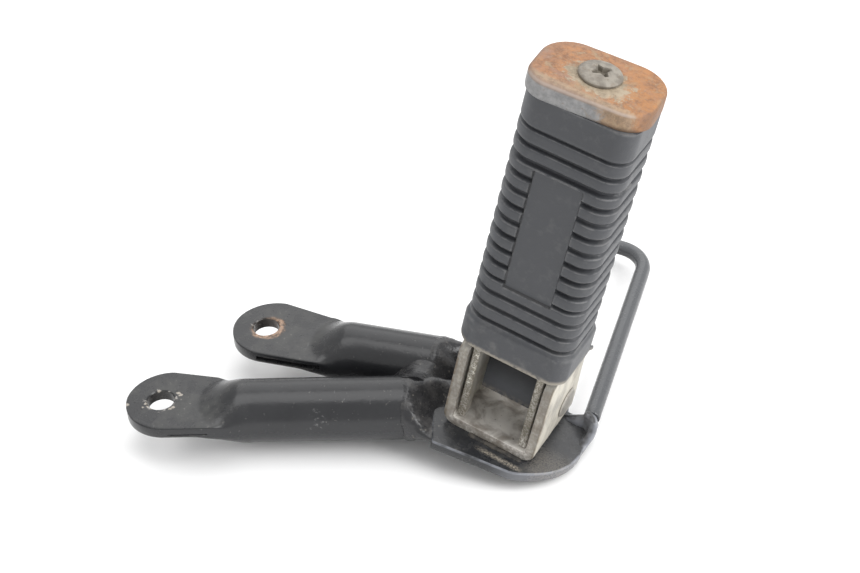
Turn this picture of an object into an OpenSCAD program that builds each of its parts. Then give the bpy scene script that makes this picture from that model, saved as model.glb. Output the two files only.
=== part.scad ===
// Folding passenger foot peg on a two-tube bolt-on bracket. Millimetres, +Z up.
// The origin is the centre of the front bolt hole, halfway through the flattened tube end.

/* [Tubes] */
// Outside diameter of both tubes
tube_d = 20; // [18:0.5:22]
// Tube wall thickness
tube_wall = 2; // [1.5:0.1:2.5]
// Heading of the front tube, degrees from +X
front_heading = 27.9; // [26:0.1:30]
// Heading of the rear tube, degrees from +X
rear_heading = 12.1; // [10:0.1:13]
// Rear bolt hole, along X
rear_hole_x = 9.8; // [8:0.1:12]
// Rear bolt hole, along Y
rear_hole_y = 44.8; // [43:0.1:46]
// Length of the front tube from its hole to the plate
front_length = 84.6; // [82:0.1:86]
// Length of the rear tube from its hole to the plate
rear_length = 63.6; // [61:0.1:65]
// Diameter of the bolt holes
hole_d = 8.6; // [8.4:0.1:9]
// Width of the flattened tube ends
tab_width = 26.6; // [25:0.1:28]
// Height of the tab's middle above the tube's axis
tab_rise = 3.1; // [2:0.1:4]

/* [Plate] */
// Thickness of the plate
plate_t = 3.5; // [3:0.1:4]
// Slope of the plate, down towards +X
plate_slope = 12.1; // [10:0.1:13]
// Lean of the plate towards +Y
plate_lean = 2.9; // [2:0.1:4]
// Height of the upturned lug above the plate
lug_h = 5.6; // [4:0.1:7]

/* [Clevis] */
// Outside width of the clevis
clevis_w = 31.3; // [30:0.1:33]
// Depth of the clevis web
clevis_d = 27.2; // [26:0.1:29]
// Sheet thickness of the clevis
clevis_t = 3.1; // [2.8:0.1:3.3]
// Height of the ears
ear_h = 33; // [31:0.5:34]
// Pin position behind the clevis's front edge
pin_y = 18.5; // [18:0.1:19]
// Pin height above the plate
pin_z = 12.3; // [12:0.1:13]
// Diameter of the pivot pin
pin_d = 8; // [7.5:0.1:8.5]

/* [Peg] */
// Width of the rubber grip
grip_w = 34.2; // [32:0.1:35]
// Thickness of the rubber grip
grip_d = 23.6; // [22:0.1:25]
// Height of the grip's lower face above the plate
grip_z0 = 35.8; // [35.4:0.1:37]
// Height of the end cap's rim above the plate
cap_z0 = 125.2; // [120:0.1:126]
// Height of the end cap
cap_h = 5.9; // [5:0.1:7]
// Thickness of the core's channel walls
core_t = 2.4; // [2:0.1:2.6]
// Pitch of the grip's grooves
groove_pitch = 5.18; // [5:0.01:5.3]
// Width of a groove
groove_w = 1.5; // [1:0.1:2]

/* [Guard] */
// Diameter of the guard rod
guard_d = 5.2; // [4.5:0.1:5.5]
// Bend radius of the guard rod at its centre line
guard_bend = 12; // [10:0.5:14]

/* [Hidden] */
$fn = 96;
HULL_FN = 32;

black_paint = [0.16, 0.16, 0.17];
zinc = [0.62, 0.6, 0.55];
steel = [0.55, 0.55, 0.55];
rubber = [0.3, 0.3, 0.31];
rust = [0.72, 0.5, 0.36];

tube_r = tube_d / 2;
bore_r = tube_r - tube_wall;
tab_t = 2 * tube_wall;
tab_end_r = tab_width / 2;
tab_end_s = 2.5;            // centre of the tab's round end, along the tube from the hole
tab_flat_end = 12.5;        // where the flat begins to open into the tube
tube_start = 24.5;          // where the tube is fully round
crimp_len = 7.5;            // closed length at the plate
slot = 0.4;                 // gap left between the two flattened walls

seat = [96.2, 35.4, -5.25]; // middle of the clevis's front edge, on the plate's top face
floor_play = 0.4;           // gap between the core's heel and the clevis web
ear_gap = 0.8;              // washer thickness between an ear and the core
inner_w = clevis_w - 2 * clevis_t;
core_w = inner_w - 2 * ear_gap;
core_y0 = 1.2;              // front edge of the core's walls
core_y1 = 17;               // back of the core's web
core_top = 122;
knuckle_r = 8.4;            // round end of the core's walls about the pin
pin_hole_r = pin_d / 2 + 0.06;
peg_x = 0.5;                // middle of the grip across the clevis
grip_y = 8.9;               // middle of the grip front to back
grip_r = 8;
collar_top = 47;
collar_grow = 0.9;
first_groove = 115.6;       // height of the top groove
groove_depth = 1.6;
grooves = 14;
cap_w = 35.2;
cap_d = 25.2;
cap_r = 10;
cap_t = 1.5;
cap_top = cap_z0 + cap_h;
screw_y = 8.5;
screw_r = 3;
screw_head_r = 6;
screw_head_h = 2.3;
screw_len = 16;
nut_h = 5;
end_plate_t = 2.5;
guard_z = -8.1;
bend_steps = 12;
rod_sides = 20;
guard_a = [119.3, 62.7];    // behind the lug
guard_b = [102.5, 147.6];   // outer corner
guard_c = [77.5, 147.6];    // inner corner
guard_e = [79.2, 70.6];     // at the plate's back edge

// ---- placing ----
module on_plate() translate(seat) rotate([-plate_lean, plate_slope, 0]) children();
module along_front() rotate([0, 0, front_heading]) children();
module along_rear() translate([rear_hole_x, rear_hole_y, 0]) rotate([0, 0, rear_heading]) children();
module across(x, y, z) translate([x, y, z]) rotate([0, 90, 0]) children();

// ---- shapes ----
module rounded_rect(w, d, r) {
    square([w - 2 * r, d], center = true);
    square([w, d - 2 * r], center = true);
    for (sx = [-1, 1], sy = [-1, 1]) translate([sx * (w / 2 - r), sy * (d / 2 - r)]) circle(r);
}

// Side profile in Y and Z, given a thickness along X and centred on x
module side_plate(x, t) translate([x - t / 2, 0, 0]) rotate([90, 0, 90]) linear_extrude(t) children();

module ring(outer_r, inner_r, t) difference() {
    cylinder(r = outer_r, h = t, center = true);
    cylinder(r = inner_r, h = t + 1, center = true);
}

// A bead of weld between two points, with a round top
module bead(a, b, r) hull() {
    translate(a) sphere(r, $fn = 16);
    translate(b) sphere(r, $fn = 16);
}

// ---- tubes ----
module tab_outline() {
    translate([tab_end_s, 0]) circle(tab_end_r);
    translate([tab_end_s, -tab_end_r]) square([tab_flat_end - tab_end_s, tab_width]);
}

module disc_x(s, r, z, t = 0.1) translate([s, 0, z]) rotate([0, 90, 0]) cylinder(r = r, h = t, $fn = HULL_FN);

module bracket_tube(length) {
    axis_z = -tab_rise;
    round_end = length - crimp_len;
    difference() {
        union() {
            translate([0, 0, -tab_t / 2]) linear_extrude(tab_t) tab_outline();
            hull() {
                translate([tab_flat_end - 0.2, -tab_end_r, -tab_t / 2]) cube([0.2, tab_width, tab_t]);
                disc_x(tube_start, tube_r, axis_z);
            }
            disc_long(tube_start, round_end, tube_r, axis_z);
            hull() {
                disc_x(round_end - 0.1, tube_r, axis_z);
                translate([length - 0.1, 0, axis_z + 0.6]) scale([1, 1, 0.6]) rotate([0, 90, 0])
                    cylinder(r = tube_r - 0.8, h = 0.1, $fn = HULL_FN);
            }
        }
        cylinder(d = hole_d, h = 3 * tab_t, center = true);
        disc_long(tube_start, round_end - 1, bore_r, axis_z);
        hull() {
            translate([tab_flat_end, -tab_end_r + 3, -slot / 2]) cube([0.1, tab_width - 6, slot]);
            disc_x(tube_start, bore_r, axis_z);
        }
        translate([-tab_end_r, -tab_end_r + 3, -slot / 2])
            cube([tab_end_r + tab_flat_end + 0.05, tab_width - 6, slot]);
    }
}

module disc_long(s0, s1, r, z) translate([s0, 0, z]) rotate([0, 90, 0]) cylinder(r = r, h = s1 - s0);

module front_tube() color(black_paint) along_front() bracket_tube(front_length);

module rear_tube() color(black_paint) difference() {
    along_rear() bracket_tube(rear_length);
    along_front() disc_long(tube_start + 10, front_length + 20, tube_r + 0.1, -tab_rise);
}

module tube_crotch_weld() color(black_paint) along_front()
    for (s = [0 : 3]) bead([70 + 3.4 * s, 10.6, 2.4], [72.6 + 3.4 * s, 10.9, 2.1], 1.7);

// ---- plate ----
function arc_points(cx, cy, r, a0, a1, n) =
    [for (i = [0 : n]) let (a = a0 + (a1 - a0) * i / n) [cx + r * cos(a), cy + r * sin(a)]];

module plate_outline() polygon(concat(
    [[-13.6, -10.3], [11, -6.9], [13.1, -6.3], [15.2, -5.2], [17.3, -3.6]],
    arc_points(7, 13, 19.3, -50, 8, 14),
    arc_points(22.4, 24.2, 3.8, 0, 90, 6),
    [[15.5, 28], [13, 34], [-23.2, 34], [-23.6, 29], [-22.6, 17], [-19.7, 1.6]]
));

module lug_outline() hull() {
    translate([16.4, -plate_t]) square([9.6, 1]);
    translate([20.6, lug_h - 4.2]) circle(4.2, $fn = HULL_FN);
    translate([21.8, lug_h - 4.2]) circle(4.2, $fn = HULL_FN);
}

module mounting_plate() color(black_paint) on_plate() {
    translate([0, 0, -plate_t]) linear_extrude(plate_t) plate_outline();
    translate([0, 26.8, 0]) rotate([90, 0, 0]) linear_extrude(3) lug_outline();
}

module front_tube_weld() color(black_paint) on_plate() {
    bead([-18.4, -4.6, -0.6], [-20.4, 5.6, -0.4], 2.4);
    bead([-16.6, -8.4, -1.6], [-18.4, -4.6, -0.6], 2.2);
    bead([-20.4, 5.6, -0.4], [-21.6, 12, -0.6], 2.2);
}

module rear_tube_weld() color(black_paint) on_plate() {
    bead([-22.8, 17, -0.6], [-23.8, 24, -0.4], 2.4);
    bead([-23.8, 24, -0.4], [-24.2, 31, -1.2], 2.2);
}

// ---- clevis ----
module ear_profile() hull() {
    translate([0, 4]) square([clevis_d, 1]);
    translate([3, ear_h - 3]) circle(3, $fn = HULL_FN);
    translate([21.5, ear_h - 3]) circle(3, $fn = HULL_FN);
    translate([clevis_d - 0.2, 9]) circle(1, $fn = HULL_FN);
}

// U section with round foot corners, open at the top
module rounded_rect_low(w, r) {
    translate([-w / 2, r]) square([w, ear_h + 5]);
    translate([-w / 2 + r, 0]) square([w - 2 * r, r + 1]);
    for (s = [-1, 1]) translate([s * (w / 2 - r), r]) circle(r);
}

module clevis_bracket() color(zinc) on_plate() difference() {
    union() {
        translate([0, clevis_d, 0]) rotate([90, 0, 0]) linear_extrude(clevis_d) difference() {
            intersection() {
                rounded_rect_low(clevis_w, 3.6);
                translate([-clevis_w / 2, 0]) square([clevis_w, 5]);
            }
            translate([0, clevis_t]) rounded_rect_low(inner_w, 1.2);
        }
        for (s = [-1, 1]) side_plate(s * (clevis_w - clevis_t) / 2, clevis_t) ear_profile();
    }
    across(-clevis_w, pin_y, pin_z) cylinder(r = pin_hole_r, h = 2 * clevis_w);
}

module clevis_front_weld() color(black_paint) on_plate()
    for (i = [0 : 5]) bead([-9 + 4 * i, -0.6, 0.2], [-6.4 + 4 * i, -0.5, 0.3], 1.5);

module clevis_rear_weld() color(black_paint) on_plate()
    for (i = [0 : 5]) bead([-12 + 4 * i, clevis_d + 0.5, 0.3], [-9.4 + 4 * i, clevis_d + 0.6, 0.2], 1.5);

// ---- guard ----
function unit(v) = v / norm(v);
function heading(a, b) = atan2(b.y - a.y, b.x - a.x);
function left_turn(a, b, c) = let (t = heading(b, c) - heading(a, b)) t < 0 ? t + 360 : t;
function setback(a, b, c) = guard_bend * tan(left_turn(a, b, c) / 2);

// Centre line of one bend as [point, heading] pairs
function bend_stations(a, b, c) =
    let (
        h = heading(a, b),
        start = b - unit(b - a) * setback(a, b, c),
        middle = start + guard_bend * [-sin(h), cos(h)]
    )
    [for (i = [0 : bend_steps]) let (q = h + left_turn(a, b, c) * i / bend_steps)
        [middle + guard_bend * [sin(q), -cos(q)], q]];

guard_line = concat(
    [[guard_a, heading(guard_a, guard_b)]],
    bend_stations(guard_a, guard_b, guard_c),
    bend_stations(guard_b, guard_c, guard_e),
    [[guard_e, heading(guard_c, guard_e)]]
);

// One solid rod swept along a level line of [point, heading] stations
module swept_rod(line, d, z) {
    points = [for (p = line, k = [0 : rod_sides - 1]) let (a = 360 * k / rod_sides)
        [p[0].x - d / 2 * cos(a) * sin(p[1]), p[0].y + d / 2 * cos(a) * cos(p[1]), z + d / 2 * sin(a)]];
    last = len(line) - 1;
    sides = [for (i = [0 : last - 1], k = [0 : rod_sides - 1]) let (n = (k + 1) % rod_sides)
        [i * rod_sides + k, i * rod_sides + n, (i + 1) * rod_sides + n, (i + 1) * rod_sides + k]];
    near_end = [for (k = [0 : rod_sides - 1]) rod_sides - 1 - k];
    far_end = [for (k = [0 : rod_sides - 1]) last * rod_sides + k];
    polyhedron(points, concat(sides, [near_end, far_end]));
}

module heel_guard() color(black_paint) swept_rod(guard_line, guard_d, guard_z);

// Joins the rod's end to the back of the lug, under it and along its inner side
module guard_foot_weld() color(black_paint) on_plate() {
    bead([21.2, 27.3, 0.9], [24.8, 27.3, 0.9], 1.5);
    bead([21.2, 27.3, 0.9], [20.6, 27.6, 3.6], 1.5);
}

module guard_end_weld() color(black_paint) {
    bead([76.6, 70.6, guard_z + 1.6], [81.8, 70.4, guard_z + 1.6], 1.8);
}

// ---- pivot ----
module pivot_pin() color(steel) on_plate() difference() {
    union() {
        across(-clevis_w / 2 - 4, pin_y, pin_z) cylinder(d = pin_d, h = clevis_w + 4.2);
        across(clevis_w / 2, pin_y, pin_z) cylinder(r = 4.9, h = 0.4);
        across(clevis_w / 2 + 0.4, pin_y, pin_z) cylinder(r1 = 4.9, r2 = 4.2, h = 0.4);
    }
    across(-clevis_w / 2 - 2.4, pin_y, pin_z) ring(pin_d, pin_d / 2 - 0.8, 1);
}

module pin_washer() color(zinc) on_plate()
    across(-clevis_w / 2 - 0.95, pin_y, pin_z) ring(7.5, pin_hole_r, 1.5);

module retaining_clip() color(steel) on_plate() across(-clevis_w / 2 - 2.3, pin_y, pin_z) difference() {
    ring(6.4, pin_d / 2 - 0.75, 0.8);
    translate([-1.6, -10, -1]) cube([3.2, 10, 2]);
}

module friction_washers() color(zinc) on_plate()
    for (s = [-1, 1]) across(s * (inner_w - ear_gap) / 2, pin_y, pin_z) ring(7.6, pin_hole_r, ear_gap - 0.1);

module pivot_spacer() color(steel) on_plate()
    across(0, pin_y, pin_z) ring(5.4, pin_hole_r, core_w - 2 * core_t);

// ---- peg ----
// Side of the core: a heel that stops on the clevis web, a knuckle about the pin, and a straight shank
module core_side() difference() {
    union() {
        translate([core_y0, clevis_t + floor_play]) square([4.2, 12]);
        translate([core_y0, 9.4]) square([pin_y - core_y0, 16]);
        translate([pin_y, pin_z]) circle(knuckle_r);
        polygon([[core_y0, 20], [pin_y + knuckle_r - 0.02, pin_z + 0.6], [pin_y + 6.5, 20],
                 [core_y1, 33], [core_y1, core_top], [core_y0, core_top]]);
    }
    translate([pin_y, pin_z]) circle(pin_hole_r);
}

module core_channel() {
    for (s = [-1, 1]) side_plate(s * (core_w - core_t) / 2, core_t) core_side();
    translate([-core_w / 2, core_y1 - core_t, 26]) cube([core_w, core_t, core_top - 26]);
}

module peg_core() color(zinc) on_plate() core_channel();

module core_end_plate() color(steel) on_plate() difference() {
    translate([-core_w / 2 + core_t, core_y0, core_top - end_plate_t])
        cube([core_w - 2 * core_t, core_y1 - core_t - core_y0, end_plate_t]);
    translate([peg_x, screw_y, core_top - 5]) cylinder(r = screw_r + 0.4, h = 10);
}

module weld_nut() color(steel) on_plate() translate([peg_x, screw_y, core_top - end_plate_t - nut_h])
    difference() {
        cylinder(r = 5.77, h = nut_h, $fn = 6);
        translate([0, 0, -1]) cylinder(r = screw_r + 0.05, h = nut_h + 2);
    }

module grip_at(z) translate([peg_x, grip_y, z]) children();

module groove(z) grip_at(z - groove_w / 2) linear_extrude(groove_w) difference() {
    square([2 * grip_w, 2 * grip_d], center = true);
    rounded_rect(grip_w - 2 * groove_depth, grip_d - 2 * groove_depth, grip_r - groove_depth);
}

module rubber_grip() color(rubber) on_plate() difference() {
    union() {
        grip_at(grip_z0) linear_extrude(collar_top - grip_z0)
            rounded_rect(grip_w + collar_grow, grip_d + 0.6, grip_r);
        grip_at(grip_z0) linear_extrude(cap_z0 - grip_z0 - 0.1) rounded_rect(grip_w, grip_d, grip_r);
        grip_at(cap_z0 - 1) linear_extrude(cap_h - cap_t + 0.95)
            rounded_rect(cap_w - 2 * cap_t - 0.2, cap_d - 2 * cap_t - 0.2, cap_r - cap_t);
        translate([-core_w / 2 + core_t + 0.1, 10.5, 10.4])
            cube([core_w - 2 * core_t - 0.2, 2.2, grip_z0 - 10]);
        across(-core_w / 2 + core_t + 0.1, 11.6, 10.8)
            cylinder(r = 1.1, h = core_w - 2 * core_t - 0.2);
    }
    for (i = [0 : grooves - 1]) groove(first_groove - i * groove_pitch);
    core_channel();
    translate([-core_w / 2 + core_t - 0.01, core_y0, core_top - end_plate_t - nut_h])
        cube([core_w - 2 * core_t + 0.02, core_y1 - core_t - core_y0 + 0.01, end_plate_t + nut_h]);
    translate([peg_x, screw_y, core_top - 14]) cylinder(r = screw_r + 1, h = 40);
}

module end_cap() color(rust) on_plate() difference() {
    union() {
        grip_at(cap_z0) linear_extrude(cap_h - 1) rounded_rect(cap_w, cap_d, cap_r);
        hull() {
            grip_at(cap_z0 + cap_h - 1.1) linear_extrude(0.1) rounded_rect(cap_w, cap_d, cap_r);
            grip_at(cap_top - 0.1) linear_extrude(0.1) rounded_rect(cap_w - 1.6, cap_d - 1.6, cap_r - 0.8);
        }
    }
    grip_at(cap_z0 - 1) linear_extrude(cap_h - cap_t + 1)
        rounded_rect(cap_w - 2 * cap_t, cap_d - 2 * cap_t, cap_r - cap_t);
    translate([peg_x, screw_y, cap_top - 5]) cylinder(r = screw_r + 0.4, h = 10);
}

module end_screw() color(steel) on_plate() translate([peg_x, screw_y, cap_top]) difference() {
    union() {
        cylinder(r = screw_head_r, h = 0.8);
        translate([0, 0, 0.8]) cylinder(r1 = screw_head_r, r2 = 4.4, h = 0.9);
        translate([0, 0, 1.7]) cylinder(r1 = 4.4, r2 = 2, h = screw_head_h - 1.7);
        translate([0, 0, -screw_len]) cylinder(r = screw_r, h = screw_len + 0.1);
    }
    for (a = [35, 125]) rotate([0, 0, a]) translate([-3.2, -0.65, screw_head_h - 1.6]) cube([6.4, 1.3, 3]);
}

front_tube();
rear_tube();
tube_crotch_weld();
mounting_plate();
front_tube_weld();
rear_tube_weld();
clevis_bracket();
clevis_front_weld();
clevis_rear_weld();
heel_guard();
guard_foot_weld();
guard_end_weld();
pivot_pin();
pin_washer();
retaining_clip();
friction_washers();
pivot_spacer();
peg_core();
core_end_plate();
weld_nut();
rubber_grip();
end_cap();
end_screw();
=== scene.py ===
"""Folding passenger foot peg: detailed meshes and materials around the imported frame."""

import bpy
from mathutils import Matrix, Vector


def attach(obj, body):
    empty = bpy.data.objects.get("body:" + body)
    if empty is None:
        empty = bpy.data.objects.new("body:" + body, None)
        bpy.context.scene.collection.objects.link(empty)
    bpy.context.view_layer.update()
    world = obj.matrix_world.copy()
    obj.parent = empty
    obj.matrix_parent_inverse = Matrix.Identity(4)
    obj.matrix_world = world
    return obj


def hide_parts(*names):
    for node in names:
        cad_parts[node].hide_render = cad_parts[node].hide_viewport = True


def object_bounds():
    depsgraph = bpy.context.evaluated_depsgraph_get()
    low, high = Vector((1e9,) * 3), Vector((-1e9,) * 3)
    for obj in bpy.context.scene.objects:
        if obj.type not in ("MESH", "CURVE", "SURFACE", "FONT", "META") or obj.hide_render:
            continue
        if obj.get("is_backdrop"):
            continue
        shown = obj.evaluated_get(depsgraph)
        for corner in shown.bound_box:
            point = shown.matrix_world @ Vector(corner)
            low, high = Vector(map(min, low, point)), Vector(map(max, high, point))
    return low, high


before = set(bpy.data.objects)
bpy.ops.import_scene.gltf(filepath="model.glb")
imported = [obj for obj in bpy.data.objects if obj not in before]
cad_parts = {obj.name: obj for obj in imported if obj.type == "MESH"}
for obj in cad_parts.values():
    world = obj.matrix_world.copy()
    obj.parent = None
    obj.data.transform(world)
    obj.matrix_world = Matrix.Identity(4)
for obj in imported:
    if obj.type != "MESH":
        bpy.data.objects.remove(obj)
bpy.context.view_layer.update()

from math import copysign, cos, exp, pi, radians, sin, sqrt, tan

import bmesh
import bpy
from mathutils import Matrix, Vector, noise

MM = 0.001

# ---- the frame's places, in millimetres and degrees ----
SEAT = Vector((96.2, 35.4, -5.25))  # middle of the clevis's front edge, on the plate's top face
PLATE_SLOPE = 12.1
PLATE_LEAN = 2.9
FRONT_HEADING = 27.9
REAR_HEADING = 12.1
REAR_HOLE = Vector((9.8, 44.8, 0))
FRONT_LENGTH = 84.6
REAR_LENGTH = 63.6
TUBE_R = 10.0
TUBE_Z = -3.1  # tube axis, below the middle of the flattened end
TAB_R = 13.3  # flattened end: radius of its tip,
TAB_CENTRE = 2.5  # centre of that round, along the tube from the hole,
TAB_T = 4.0  # and thickness
HOLE_R = 4.3
PLATE_T = 3.5
CLEVIS_W = 31.3
CLEVIS_D = 27.2
CLEVIS_T = 3.1
EAR_H = 33.0
PIN_Y = 18.5
PIN_Z = 12.3
PIN_R = 4.0
CORE_W = 23.5
CORE_T = 2.4
CORE_TOP = 121.8
GRIP_X = 0.5
GRIP_Y = 8.7
GRIP_Z0 = 35.8
GRIP_R = (6.0, 8.0, 7.0, 5.8)  # corner radii: back right, back left, front left, front right
CAP_Z0 = 125.2
CAP_H = 5.9
CAP_TOP = CAP_Z0 + CAP_H
CAP_W = 34.9
CAP_D = 24.6
CAP_R = (9.8, 10.0, 7.0, 8.2)
CAP_X = 0.4
CAP_Y = 9.0
CAP_TURN = 4.0  # degrees; the cap sits a little askew
SCREW_Y = 8.5
SCREW_R = 5.95
GUARD_Z = -8.1
GUARD_R = 2.6
GUARD_BEND = 12.0
GUARD_LINE = [(119.3, 62.7), (102.5, 147.6), (77.5, 147.6), (79.2, 70.6)]


def rigid(place, *turns):
    """A frame at a place in millimetres, turned by (degrees, axis) pairs, the first outermost."""
    m = Matrix.Translation(Vector(place) * MM)
    for degrees, axis in turns:
        m = m @ Matrix.Rotation(radians(degrees), 4, axis)
    return m


ROW = Matrix.Identity(4)
PLATE = rigid(SEAT, (PLATE_SLOPE, "Y"), (-PLATE_LEAN, "X"))
FRONT = rigid((0, 0, 0), (FRONT_HEADING, "Z"))
REAR = rigid(REAR_HOLE, (REAR_HEADING, "Z"))


# ---- small shape helpers, all in millimetres ----
def smooth(a, b, x):
    """0 at a, 1 at b, and an S curve between."""
    t = min(max((x - a) / (b - a), 0.0), 1.0)
    return t * t * (3 - 2 * t)


def lerp(a, b, t):
    return a + (b - a) * t


def steps(a, b, n):
    """n + 1 evenly spaced numbers from a to b."""
    return [lerp(a, b, i / n) for i in range(n + 1)]


def wobble(p, size, seed=0.0):
    """Smooth random number from -1 to 1 at a point, varying over about that size."""
    return noise.noise(Vector((p[0] / size + seed, p[1] / size - seed, p[2] / size + 2 * seed)))


def rounded_loop(half_w, half_d, radii, arc=10, flat=1):
    """Points and outward normals round a rounded rectangle, anticlockwise from its +X side.

    The radii are those of the corners at (+X, +Y), (-X, +Y), (-X, -Y) and (+X, -Y).
    """
    loop = []
    corners = [(1, 1), (-1, 1), (-1, -1), (1, -1)]
    for i, (sx, sy) in enumerate(corners):
        r = radii[i]
        centre = Vector((sx * (half_w - r), sy * (half_d - r)))
        for a in steps(90 * i, 90 * i + 90, arc):
            out = Vector((cos(radians(a)), sin(radians(a))))
            loop.append((centre + out * r, out))
        nx, ny = corners[(i + 1) % 4]
        nr = radii[(i + 1) % 4]
        nxt = Vector((nx * (half_w - nr), ny * (half_d - nr))) + out * nr
        last = loop[-1][0]
        loop += [(last.lerp(nxt, k / flat), out) for k in range(1, flat)]
    return loop


def to_row(place, p):
    """A point of a piece's own frame, in the shared frame."""
    return (place @ (Vector(p) * MM)) / MM


def steps_2d(a, b, n):
    """n + 1 evenly spaced points from a to b."""
    return [(lerp(a[0], b[0], i / n), lerp(a[1], b[1], i / n)) for i in range(n + 1)]


# ---- mesh helpers ----
def add_object(name, data):
    made = bpy.data.objects.new(name, data)
    bpy.context.scene.collection.objects.link(made)
    return made


def add_solid(name, bm, place):
    """An object of a closed mesh, in a frame."""
    mesh = bpy.data.meshes.new(name)
    bmesh.ops.recalc_face_normals(bm, faces=bm.faces)
    bm.to_mesh(mesh)
    bm.free()
    solid = add_object(name, mesh)
    solid.matrix_world = place
    return solid


def new_piece(name, bm, place, body, nodes, material, angle=None):
    """Makes a piece and says its body, the CAD nodes it replaces and shading angle."""
    piece = add_solid(name, bm, place)
    piece.data.materials.append(material)
    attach(piece, body)
    if nodes:
        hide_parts(*nodes)
    if angle:
        shade(piece, angle)
    return piece


def shade(piece, angle):
    """Smooths faces that meet at less than this angle, and keeps sharper edges sharp."""
    mesh = piece.data
    mesh.shade_smooth()
    bm = bmesh.new()
    bm.from_mesh(mesh)
    for e in bm.edges:
        e.smooth = len(e.link_faces) == 2 and e.calc_face_angle(0) < radians(angle)
    bm.to_mesh(mesh)
    bm.free()
    return piece


def apply_modifiers(piece):
    depsgraph = bpy.context.evaluated_depsgraph_get()
    made = bpy.data.meshes.new_from_object(piece.evaluated_get(depsgraph))
    piece.modifiers.clear()
    old, piece.data = piece.data, made
    made.name = old.name
    bpy.data.meshes.remove(old)
    return piece


def bevel(piece, width, segments=2, angle=30):
    m = piece.modifiers.new("bevel", "BEVEL")
    m.width, m.segments = width * MM, segments
    m.limit_method, m.angle_limit = "ANGLE", radians(angle)
    return apply_modifiers(piece)


def add_rings(bm, rings, close=True, cap=True):
    """Quads between rings of points, with flat faces over both ends."""
    rows = [[bm.verts.new(Vector(p) * MM) for p in ring] for ring in rings]
    count = len(rows[0])
    for a, b in zip(rows, rows[1:]):
        for k in range(count if close else count - 1):
            n = (k + 1) % count
            bm.faces.new((a[k], a[n], b[n], b[k]))
    if cap:
        bm.faces.new(list(reversed(rows[0])))
        bm.faces.new(rows[-1])
    return rows


def ring_mesh(rings, **settings):
    """A new mesh through rings of points."""
    bm = bmesh.new()
    add_rings(bm, rings, **settings)
    return bm


def turns(n):
    """n evenly spaced angles round a circle, in radians."""
    return [2 * pi * k / n for k in range(n)]


def circle(r, z, sides, axis_frame):
    """Points round an axis at a height along it."""
    return [axis_frame @ Vector((r * cos(a), r * sin(a), z)) for a in turns(sides)]


def lathe(profile, axis_frame=Matrix.Identity(4), sides=64):
    """A solid of revolution about Z from (radius, height) pairs, with flat ends."""
    return ring_mesh([circle(r, z, sides, axis_frame) for r, z in profile])


def add_prism(bm, outline, along, thickness, centre):
    """An outline of two coordinates given a thickness along X, Y or Z."""
    def point(u, v, w):
        return {"X": (w, u, v), "Y": (u, w, v), "Z": (u, v, w)}[along]
    low, high = centre - thickness / 2, centre + thickness / 2
    add_rings(bm, [[point(u, v, low) for u, v in outline], [point(u, v, high) for u, v in outline]])


def arc(cx, cy, r, a0, a1, n):
    """n + 1 points of an arc between two angles in degrees."""
    angles = [radians(a) for a in steps(a0, a1, n)]
    return [(cx + r * cos(a), cy + r * sin(a)) for a in angles]


def cut(piece, cutter_bm):
    """Takes a closed shape, in the piece's own frame, out of it."""
    cutter = add_solid("cutter", cutter_bm, piece.matrix_world)
    mesh = cutter.data
    bpy.context.view_layer.update()
    m = piece.modifiers.new("cut", "BOOLEAN")
    m.operation, m.solver, m.object = "DIFFERENCE", "EXACT", cutter
    apply_modifiers(piece)
    bpy.data.objects.remove(cutter)
    bpy.data.meshes.remove(mesh)


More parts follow.
